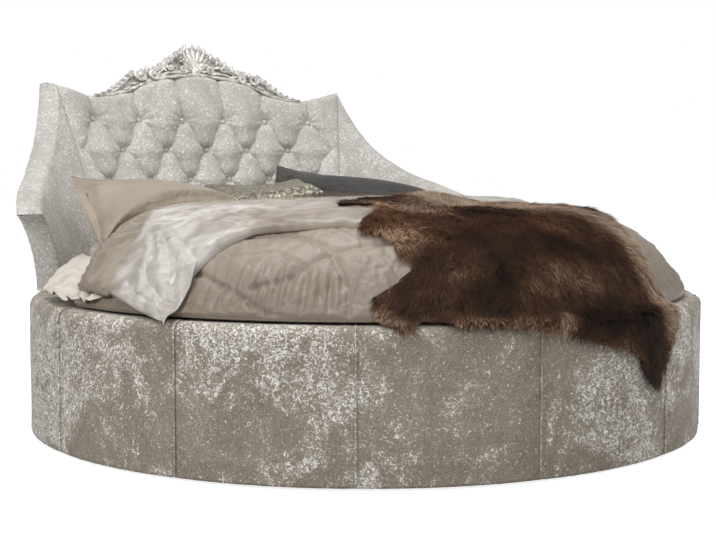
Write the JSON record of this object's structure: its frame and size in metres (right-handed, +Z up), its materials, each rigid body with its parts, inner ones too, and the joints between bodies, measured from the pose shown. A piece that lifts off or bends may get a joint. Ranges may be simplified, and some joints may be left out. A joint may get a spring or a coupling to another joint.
{
  "type": "round bed",
  "caption": "Round upholstered bed: padded velvet drum base, winged deep-buttoned headboard with a carved crest, round mattress, duvet, pillows and a fur throw.",
  "frame": {"origin": "on the floor on the axis of the round drum", "axes": "+Z up, +Y from the foot toward the headboard, +X to the right of someone who stands at the foot and looks at the headboard"},
  "size_m": [2.3352, 2.4442, 1.408],
  "materials": {
    "velvet_drum": "crushed velvet, taupe with silvery crushed marks",
    "velvet_headboard": "crushed velvet, ivory silver",
    "velvet_button": "velvet over a button blank",
    "seam_welt": "velvet covered cord",
    "foam": "upholstery foam",
    "plywood": "raw plywood",
    "timber": "planed softwood",
    "hardboard": "thin bent board",
    "black_cloth": "black lining cloth",
    "glide_plastic": "plain floor glide",
    "zinc_steel": "zinc plated",
    "silver_leaf": "carved wood under aged silver leaf",
    "spring_unit": "pocketed springs in cloth",
    "ticking": "woven ticking",
    "sheet_cotton": "cotton sheet",
    "duvet_satin": "champagne satin",
    "lining_satin": "pale silver satin lining",
    "fur": "dark brown fur",
    "pillow_cotton": "champagne cotton sateen",
    "pillow_slate": "slate cloth with a dark brown flange",
    "sequin_gold": "small taupe and gold sequins"
  },
  "bodies": {
    "base": {"floor_glides": "glide_plastic", "ring_bottom": "plywood", "ring_top": "plywood", "frame_uprights": "timber", "split_rails": "timber", "deck_joists": "timber", "split_bolts": "zinc_steel", "split_nuts": "zinc_steel", "deck_boards": "plywood", "drum_skin": "hardboard", "dust_cover": "black_cloth", "deck_cloth": "black_cloth", "drum_foam": "foam", "drum_cover": "velvet_drum", "drum_seam_cords": "seam_welt", "core_center": "plywood", "core_wing_left": "plywood", "core_wing_right": "plywood", "tufted_pad": "velvet_headboard", "wing_pad_left": "velvet_headboard", "wing_pad_right": "velvet_headboard", "wing_tip_left": "velvet_headboard", "wing_tip_right": "velvet_headboard", "back_pad_center": "foam", "back_pad_left": "foam", "back_pad_right": "foam", "back_cover_center": "velvet_headboard", "back_cover_left": "velvet_headboard", "back_cover_right": "velvet_headboard", "tuft_buttons": "velvet_button", "headboard_brackets": "zinc_steel", "bracket_bolts": "zinc_steel", "crest": "silver_leaf"},
    "mattress": {"mattress_core": "spring_unit", "mattress_foam": "foam", "mattress_cover": "ticking", "mattress_piping": "ticking", "fitted_sheet": "sheet_cotton"},
    "duvet": {"duvet": "duvet_satin", "duvet_turnback": "lining_satin"},
    "throw": {"fur_throw": "fur"},
    "pillow_left": {"pillow_left": "pillow_cotton"},
    "pillow_dark": {"pillow_dark": "pillow_slate"},
    "cushion_gold": {"cushion_gold": "sequin_gold"}
  },
  "joints": [
    {"name": "mattress_lift", "type": "slide", "parent": "base", "child": "mattress", "axis": [0, 0, 1], "range_m": [0, 0.3]},
    {"name": "duvet_lift", "type": "slide", "parent": "mattress", "child": "duvet", "axis": [0, 0, 1], "range_m": [0, 0.3]},
    {"name": "throw_lift", "type": "slide", "parent": "duvet", "child": "throw", "axis": [0, 0, 1], "range_m": [0, 0.3]},
    {"name": "pillow_left_lift", "type": "slide", "parent": "mattress", "child": "pillow_left", "axis": [0, 0, 1], "range_m": [0, 0.3]},
    {"name": "pillow_dark_lift", "type": "slide", "parent": "mattress", "child": "pillow_dark", "axis": [0, 0, 1], "range_m": [0, 0.3]},
    {"name": "cushion_gold_lift", "type": "slide", "parent": "pillow_dark", "child": "cushion_gold", "axis": [0, 0, 1], "range_m": [0, 0.3]}
  ]
}
